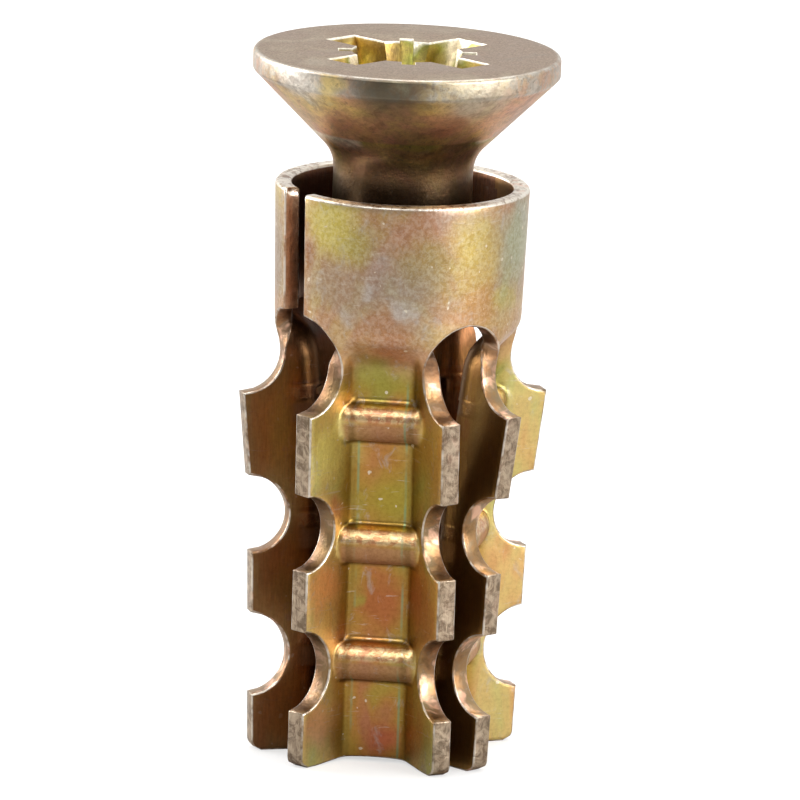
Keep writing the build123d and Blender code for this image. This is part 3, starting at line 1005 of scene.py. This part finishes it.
def screw_material():
    n = Nodes(bpy.data.materials.new("yellow_zinc_turned"))
    where = n.add("ShaderNodeTexCoord").outputs["Object"]
    z = n.add("ShaderNodeSeparateXYZ", {"Vector": where}).outputs["Z"]
    depth = n.minus(HEAD_TOP, n.times(z, 1 / MM))
    radius = n.vector("LENGTH", {0: n.stretch(where, (1 / MM, 1 / MM, 0.0))}, "Value")
    top = n.fall(depth, 0.01, 0.12)
    below_top = n.minus(1.0, top)
    fine = n.noise(where, 5600.0, 3.0, 0.7)
    cloud = n.noise(where, 260.0, 4.0, 0.6, 0.8)

    color = n.ramp(n.minus(n.times(cloud, 2.0), 0.5), SCREW_FILM)
    color = n.tint(color, top, 0.92, top_color(n, where, cloud))
    rim = n.rise(radius, HEAD_RADIUS - 0.3, HEAD_RADIUS - 0.05)
    wear_and_highlight_noise = n.rise(n.noise(where, 1500.0, 3.0, 0.7), 0.4, 0.6)
    color = n.tint(color, rim, n.total(0.35, (wear_and_highlight_noise, 0.45)), HEAD_RIM)
    color = recess_color(n, where, color, depth, radius, below_top)
    # Painted shadow on the shank under the head
    color = n.tint(color, n.rise(depth, 4.6, 6.5), 0.92, SHANK_PAINTED_SHADOW)
    # Film patches, with a painted reflection and painted highlights on the head
    color = n.mix(top, patches(n, where, color, SCREW_FILM_AND_PAINTED_LIGHT_PATCHES), color)
    blotch = n.rise(n.noise(where, 620.0, 4.0, 0.7, 0.6), 0.5, 0.66)
    color = n.tint(color, n.times(blotch, below_top), 0.4, BLOTCH_BROWN)
    dust = n.rise(n.noise(where, 3000.0, 4.0, 0.75, 0.4), 0.42, 0.6)
    color = n.tint(color, dust, 0.28, DUST_BROWN)
    speck = n.rise(n.noise(where, 3600.0, 2.0, 0.6), 0.62, 0.7)
    color = n.tint(color, speck, 0.4, SPECK_GREY)

    roughness = n.total(0.25, (fine, 0.2), (top, 0.14))
    relief = n.total(n.times(fine, 0.6), (n.noise(where, 1300.0, 3.0, 0.6), 0.9))
    return n.metal(color, roughness, relief)


# Stage, lamps and camera

def stage_material():
    """Pale paper: near white to the camera, and greyer in reflections and in its bounced light."""
    n = Nodes(bpy.data.materials.new("white_paper"))
    camera = n.add("ShaderNodeLightPath").outputs["Is Camera Ray"]
    paper = n.add("ShaderNodeBsdfDiffuse", {"Color": n.mix(camera, PAPER_IN_LIGHT, PAPER_SEEN)})
    glow = n.add("ShaderNodeEmission", {"Color": WHITE, "Strength": 1.0})
    shader = n.two_shaders(n.times(camera, PAPER_GLOW), paper, glow)
    n.add("ShaderNodeOutputMaterial", {"Surface": shader})
    return n.owner


def build_stage():
    reach = FLOOR_REACH
    corners = [(-reach, -reach, 0), (reach, -reach, 0), (reach, reach, 0), (-reach, reach, 0)]
    floor = plain_object("floor", corners, [[0, 1, 2, 3]])
    floor.data.materials.append(stage_material())


def build_world():
    """Bright at the sides and above, dimmer in front. The camera sees white, as mirrors do to the back."""
    world = bpy.data.worlds.new("studio")
    bpy.context.scene.world = world
    n = Nodes(world)
    where = n.add("ShaderNodeTexCoord").outputs["Generated"]
    toward = n.add("ShaderNodeSeparateXYZ", {"Vector": where}).outputs
    side = n.rise(n.absolute(toward["X"]), 0.45, 0.9)
    over = n.times(n.rise(toward["Z"], 0.25, 0.75), 0.8)
    front_left = n.times(n.fall(toward["Y"], -0.3, 0.1), n.rise(toward["X"], -0.2, -0.6))
    side = n.times(side, n.minus(1.0, n.times(front_left, 0.85)))
    strength = n.plus(n.times(n.most(side, over), WORLD_SIDE - WORLD_FRONT), WORLD_FRONT)
    studio = n.add("ShaderNodeBackground", {"Color": WARM_WHITE, "Strength": strength})
    white = n.add("ShaderNodeBackground", {"Color": WHITE, "Strength": 1.0})
    path = n.add("ShaderNodeLightPath").outputs
    mirrored = n.most(path["Is Glossy Ray"], path["Is Transmission Ray"])
    behind = n.rise(toward["Y"], 0.1, 0.6)
    backdrop = n.most(path["Is Camera Ray"], n.times(mirrored, behind))
    n.add("ShaderNodeOutputWorld", {"Surface": n.two_shaders(backdrop, studio, white)})


def build_lamps():
    """Lamps that face the part and that the camera doesn't see."""
    for name, place, size, power in LAMPS:
        data = bpy.data.lights.new(name, "AREA")
        data.shape = "RECTANGLE"
        data.size, data.size_y = size
        data.energy = power
        lamp = bpy.data.objects.new(name, data)
        lamp.location = place
        toward = LAMP_AIM - lamp.location
        lamp.rotation_euler = toward.to_track_quat("-Z", "Y").to_euler()
        lamp.visible_camera = False
        bpy.context.scene.collection.objects.link(lamp)


def build_camera():
    data = bpy.data.cameras.new("camera")
    camera = bpy.data.objects.new("camera", data)
    bpy.context.scene.collection.objects.link(camera)
    away = Vector((
        math.sin(CAMERA_AZIMUTH) * math.cos(CAMERA_ELEVATION),
        -math.cos(CAMERA_AZIMUTH) * math.cos(CAMERA_ELEVATION),
        math.sin(CAMERA_ELEVATION),
    ))
    look = (-away).to_track_quat("-Z", "Y").to_matrix().to_4x4()
    roll = Matrix.Rotation(CAMERA_ROLL, 4, "Z")
    camera.matrix_world = Matrix.Translation(CAMERA_TARGET + away * CAMERA_DISTANCE) @ look @ roll
    data.shift_x = CAMERA_SHIFT
    data.sensor_width = SENSOR_WIDTH
    data.lens = SENSOR_WIDTH * PIXELS_PER_MM * CAMERA_DISTANCE / MM / IMAGE_SIZE
    data.clip_start = 0.01
    data.clip_end = 20.0
    bpy.context.scene.camera = camera


# The scene

sleeve = build_sleeve()
sleeve.data.materials.append(sleeve_material())
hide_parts("sleeve")
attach(sleeve, "sleeve_body")

screw = build_screw()
screw.data.materials.append(screw_material())
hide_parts("screw")
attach(screw, "screw_body")

build_stage()
build_world()
build_lamps()
build_camera()
bpy.context.scene.view_settings.view_transform = "Standard"
